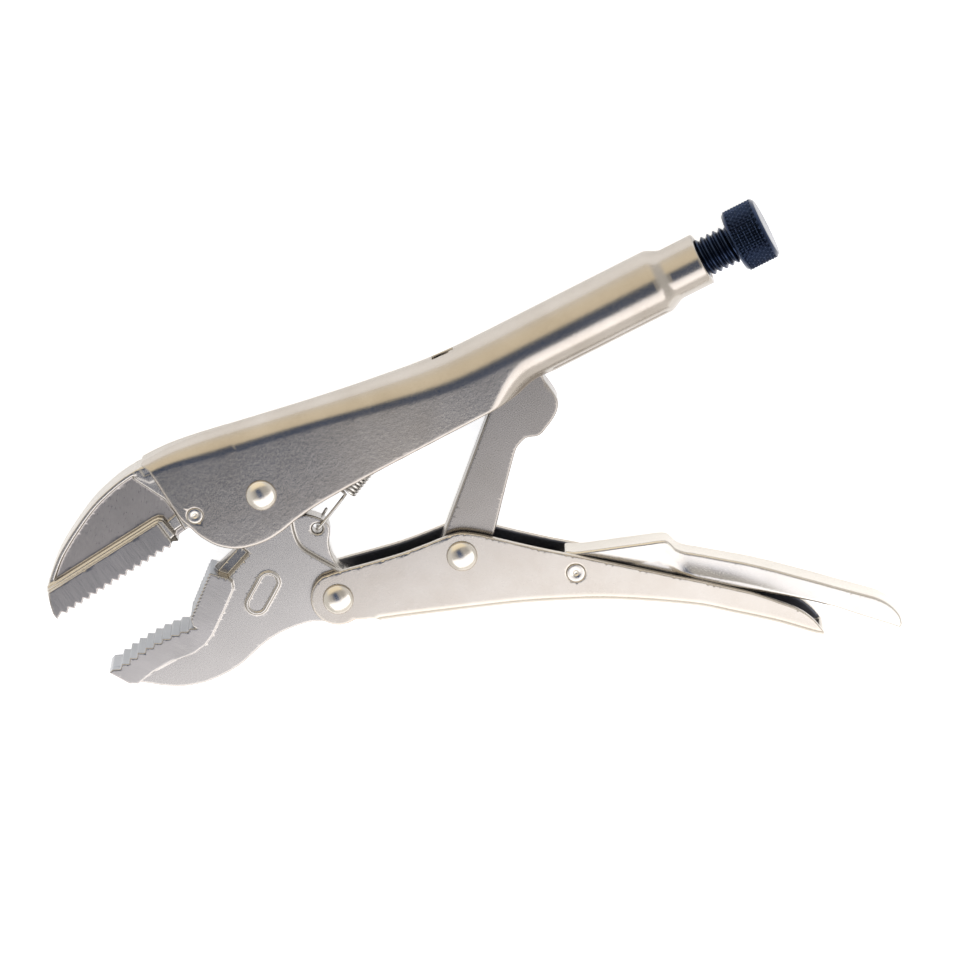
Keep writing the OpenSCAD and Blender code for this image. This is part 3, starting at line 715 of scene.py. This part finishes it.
rivet("main_pivot_head", A, FRONT_W, "upper_frame", "main_pivot_rivet")
rivet("jaw_handle_head", B, LOW_W, "lower_handle_body", "jaw_handle_rivet")
rivet("link_head", C, LOW_W, "lower_handle_body", "link_rivet")
pin("upper_jaw_peg", P, FRONT_W, 2.35, "upper_frame", "upper_jaw_pin")
pin("release_lever_peg", E, LOW_W, 2.75, "lower_handle_body", "release_lever_pin")


def lathe_x(name, radius, xs, n):
    """radius(x, angle) round the screw's axis."""
    th = np.linspace(0, 2 * math.pi, n, endpoint=False)
    rings = []
    for x in xs:
        r = radius(x, th)
        rings.append(np.stack([np.full(n, x), AXIS_Y + r * np.cos(th), r * np.sin(th)], 1))
    return from_rings(name, rings)


def screw_radius(x, th):
    p, root, crest = 2.0, 5.1, 6.08
    phase = ((x - p * th / (2 * math.pi)) / p) % 1.0
    v = np.abs(phase - 0.5) * 2          # 0 at the crest
    r = root + (crest - root) * np.clip((1.0 - v) * 1.30 - 0.06, 0, 1)
    fade = np.clip((x - 112.5) / 1.5, 0, 1) * np.clip((KNOB_X - 0.2 - x) / 0.8, 0, 1)
    r = root + (r - root) * fade
    if x < 112.5:
        r = np.full_like(th, 4.6 if x > 101.5 else 3.7 + 0.9 * (x - 100.6) / 0.9)
    if x > KNOB_X - 0.1:
        r = np.full_like(th, 4.0)
    return r


xs = list(np.arange(100.6, 112.4, 0.8)) + list(np.arange(112.5, KNOB_X - 0.1, 0.125)) \
    + [KNOB_X - 0.09, KNOB_X + 6.9]
place(lathe_x("adjusting_screw_thread", screw_radius, xs, 96), "black", "screw_body",
      "adjusting_screw")


def build_knob():
    n, R, L0 = 480, 9.8, 10.8
    th = np.linspace(0, 2 * math.pi, n, endpoint=False)
    prof = [(4.06, 7.0, 0), (4.06, 0.0, 0), (6.0, 0.0, 0), (8.7, 0.0, 0), (8.95, 0.06, 0),
            (R - 0.08, 0.86, 0), (R - 0.02, 0.98, 0)]
    prof += [(R, x, 1) for x in np.arange(1.1, L0 - 1.09, 0.11)]
    prof += [(R - 0.02, L0 - 0.98, 0), (R - 0.08, L0 - 0.86, 0), (8.95, L0 - 0.06, 0),
             (8.7, L0, 0), (5.0, L0, 0), (2.0, L0 - 0.0, 0), (0.02, L0, 0)]
    rings = []
    for r, x, k in prof:
        rr = np.full(n, r, float)
        if k:
            count, pitch = 33, 1.87
            u = count * th / (2 * math.pi)
            v = x / pitch
            a = np.abs(((u + v) % 1.0) - 0.5) * 2
            b = np.abs(((u - v) % 1.0) - 0.5) * 2
            d = np.clip(np.maximum(a, b) * 1.35 - 0.30, 0, 1)
            edge = np.clip((x - 0.95) / 0.4, 0, 1) * np.clip((L0 - 0.95 - x) / 0.4, 0, 1)
            rr = r - 0.6 * d * edge
        rings.append(np.stack([np.full(n, KNOB_X + x), AXIS_Y + rr * np.cos(th),
                               rr * np.sin(th)], 1))
    # the recess end for the rod
    rings.insert(0, np.stack([np.full(n, KNOB_X + 7.0), AXIS_Y + 0.02 * np.cos(th),
                              0.02 * np.sin(th)], 1))
    ob = from_rings("knob_knurled", rings)
    sharp_by_angle(ob, 35)
    return ob


place(build_knob(), "black", "knob_body", "knurled_knob")


# ------------------------------------------------------------------ return spring
def build_spring():
    coil_r, wire_r, pitch, turns = 2.9, 0.52, 1.25, 33
    h3 = np.array([H[0], H[1], 0.0])
    u = np.array([64.6 - H[0], 6.0 - H[1], 0.0])
    u /= np.linalg.norm(u)
    v = np.array([-u[1], u[0], 0.0])
    Z = np.array([0, 0, 1.0])
    s0 = h3 + 14.2 * u
    sn = s0 + turns * pitch * u
    hook = [h3 + 5.2 * u + 0.5 * v - 4.3 * Z, h3 + 1.5 * u - 4.3 * Z, h3 + 0.35 * u - 3.6 * Z,
            h3 - 2.6 * Z, h3, h3 + 2.6 * Z, h3 + 0.35 * u + 3.6 * Z, h3 + 1.5 * u + 4.3 * Z,
            h3 + 6.4 * u + 4.0 * Z, h3 + 11.4 * u + 3.6 * Z, s0 - 1.4 * u + (coil_r + 0.2) * Z]
    coil = [s0 + pitch * k / 24 * u + coil_r * (math.cos(2 * math.pi * k / 24) * Z
            + math.sin(2 * math.pi * k / 24) * v) for k in range(24 * turns + 1)]
    tail = [sn + 1.6 * u + (coil_r + 0.1) * Z, sn + 4.6 * u + 2.9 * Z, sn + 6.6 * u + 2.3 * Z,
            sn + 7.4 * u + 1.2 * Z, sn + 7.4 * u, sn + 7.4 * u - 1.2 * Z, sn + 6.8 * u - 2.4 * Z]
    path = [np.array(p) for p in spline([tuple(p) for p in hook], 5)[:-1]] + coil \
        + [np.array(p) for p in spline([tuple(p) for p in [coil[-1]] + tail], 5)[1:]]
    path = np.array(path)
    T = np.gradient(path, axis=0)
    T /= np.linalg.norm(T, axis=1, keepdims=True)
    n = np.cross(T[0], [0.3, 1, 0.2])
    n /= np.linalg.norm(n)
    rings, m = [], 12
    for i, p in enumerate(path):
        n = n - (n @ T[i]) * T[i]
        n /= np.linalg.norm(n)
        b = np.cross(T[i], n)
        end = min(i, len(path) - 1 - i)
        w = wire_r * (0.75 if end == 0 else 1.0)
        rings.append([p + w * (math.cos(2 * math.pi * j / m) * n + math.sin(2 * math.pi * j / m) * b)
                      for j in range(m)])
    return from_rings("return_spring_wire", rings)


spring = build_spring()
spring.data.materials.append(MAT["wire"])
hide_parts("return_spring")
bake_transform(spring)

# ------------------------------------------------------------------ floor, light, camera
bpy.ops.mesh.primitive_plane_add(size=6.0, location=(0, 0, 0))
floor = bpy.context.active_object
floor.name = "floor"
fm = bpy.data.materials.new("floor_paper")
fm.use_nodes = True
fb = fm.node_tree.nodes["Principled BSDF"]
fb.inputs["Base Color"].default_value = (0.90, 0.91, 0.93, 1)
fb.inputs["Roughness"].default_value = 0.9
fb.inputs["Specular IOR Level"].default_value = 0.1
fb.inputs["Emission Color"].default_value = (0.97, 0.98, 1.0, 1)
fb.inputs["Emission Strength"].default_value = 0.68
floor.data.materials.append(fm)

world = bpy.data.worlds.new("studio")
bpy.context.scene.world = world
world.use_nodes = True
wn, wl = world.node_tree.nodes, world.node_tree.links
wn.clear()
wo = wn.new("ShaderNodeOutputWorld")
bg = wn.new("ShaderNodeBackground")
wl.new(bg.outputs[0], wo.inputs[0])
wt = wn.new("ShaderNodeTexCoord")
# the room: a dark strip overhead, warm walls towards +Y, white ones towards -Y
sep = wn.new("ShaderNodeSeparateXYZ")
wl.new(wt.outputs["Generated"], sep.inputs[0])
tilt = wn.new("ShaderNodeMath")
tilt.operation = "ARCTAN2"
wl.new(sep.outputs["Y"], tilt.inputs[0])
wl.new(sep.outputs["Z"], tilt.inputs[1])
span = wn.new("ShaderNodeMapRange")
span.inputs["From Min"].default_value = -math.pi / 2
span.inputs["From Max"].default_value = math.pi / 2
wl.new(tilt.outputs[0], span.inputs["Value"])
ramp = wn.new("ShaderNodeValToRGB")
cr = ramp.color_ramp
STOPS = ((-90, (1.45, 1.40, 1.34)), (-50, (1.10, 1.05, 1.00)), (-32, (0.66, 0.63, 0.60)),
         (-23, (0.28, 0.29, 0.30)), (-17, (0.09, 0.12, 0.17)), (-13, (0.012, 0.06, 0.18)),
         (0, (0.005, 0.052, 0.17)), (14, (0.012, 0.06, 0.18)), (20, (0.25, 0.27, 0.28)),
         (29, (1.34, 1.17, 0.88)), (60, (1.36, 1.21, 0.94)), (90, (1.3, 1.22, 1.08)))
for i, (deg, colr) in enumerate(STOPS):
    pos = (deg + 90) / 180
    el = cr.elements[i] if i < 2 else cr.elements.new(pos)
    el.position = pos
    el.color = (*colr, 1)
wl.new(span.outputs[0], ramp.inputs[0])
# the dark strip is short: it fades to plain grey on both sides of the middle
mid = wn.new("ShaderNodeMath")
mid.operation = "ADD"
mid.inputs[1].default_value = 0.155
wl.new(sep.outputs["X"], mid.inputs[0])
mid_a = wn.new("ShaderNodeMath")
mid_a.operation = "ABSOLUTE"
wl.new(mid.outputs[0], mid_a.inputs[0])
mid_r = wn.new("ShaderNodeMapRange")
mid_r.inputs["From Min"].default_value = 0.11
mid_r.inputs["From Max"].default_value = 0.19
wl.new(mid_a.outputs[0], mid_r.inputs["Value"])
grey = wn.new("ShaderNodeMix")
grey.data_type = "RGBA"
grey.blend_type = "LIGHTEN"
grey.inputs[7].default_value = (0.56, 0.54, 0.51, 1)
wl.new(mid_r.outputs[0], grey.inputs[0])
wl.new(ramp.outputs[0], grey.inputs[6])
side = wn.new("ShaderNodeMath")
side.operation = "ABSOLUTE"
wl.new(sep.outputs["X"], side.inputs[0])
sr = wn.new("ShaderNodeMapRange")
sr.inputs["From Min"].default_value = 0.42
sr.inputs["From Max"].default_value = 0.72
wl.new(side.outputs[0], sr.inputs["Value"])
wm = wn.new("ShaderNodeMix")
wm.data_type = "RGBA"
wm.inputs[7].default_value = (0.92, 0.90, 0.87, 1)
wl.new(sr.outputs[0], wm.inputs[0])
wl.new(grey.outputs[2], wm.inputs[6])
wl.new(wm.outputs[2], bg.inputs[0])
bg.inputs[1].default_value = 1.0


def area(name, loc, target, sx, sy, power, color=(1, 1, 1)):
    li = bpy.data.lights.new(name, "AREA")
    li.shape = "RECTANGLE"
    li.size, li.size_y = sx, sy
    li.energy = power
    li.color = color
    ob = bpy.data.objects.new(name, li)
    ob.location = loc
    ob.rotation_euler = (Vector(target) - Vector(loc)).to_track_quat("-Z", "Y").to_euler()
    bpy.context.scene.collection.objects.link(ob)
    return ob


area("softbox_front", (-0.02, -0.40, 0.52), (-0.02, -0.40, 0.0), 1.1, 0.55, 3.3, (0.98, 0.965, 1.0))

cam_data = bpy.data.cameras.new("camera")
cam_data.lens = 210
cam_data.sensor_width = 36
cam_data.clip_start, cam_data.clip_end = 0.05, 20
cam = bpy.data.objects.new("camera", cam_data)
th, el = math.radians(27.8), math.radians(18.0)
rv = Vector((math.cos(th), -math.sin(th), 0))
uv = Vector((math.sin(th) * math.cos(el), math.cos(th) * math.cos(el), -math.sin(el)))
vv = Vector((math.sin(th) * math.sin(el), math.cos(th) * math.sin(el), math.cos(el)))
mat = Matrix((rv, uv, vv)).transposed().to_4x4()
mat.translation = Vector(((307.15 - 49.5) * M, (439.53 + 52.6) * M, (1629.73 + 10.2) * M))
cam.matrix_world = mat
bpy.context.scene.collection.objects.link(cam)
bpy.context.scene.camera = cam
bpy.context.scene.view_settings.view_transform = "Standard"
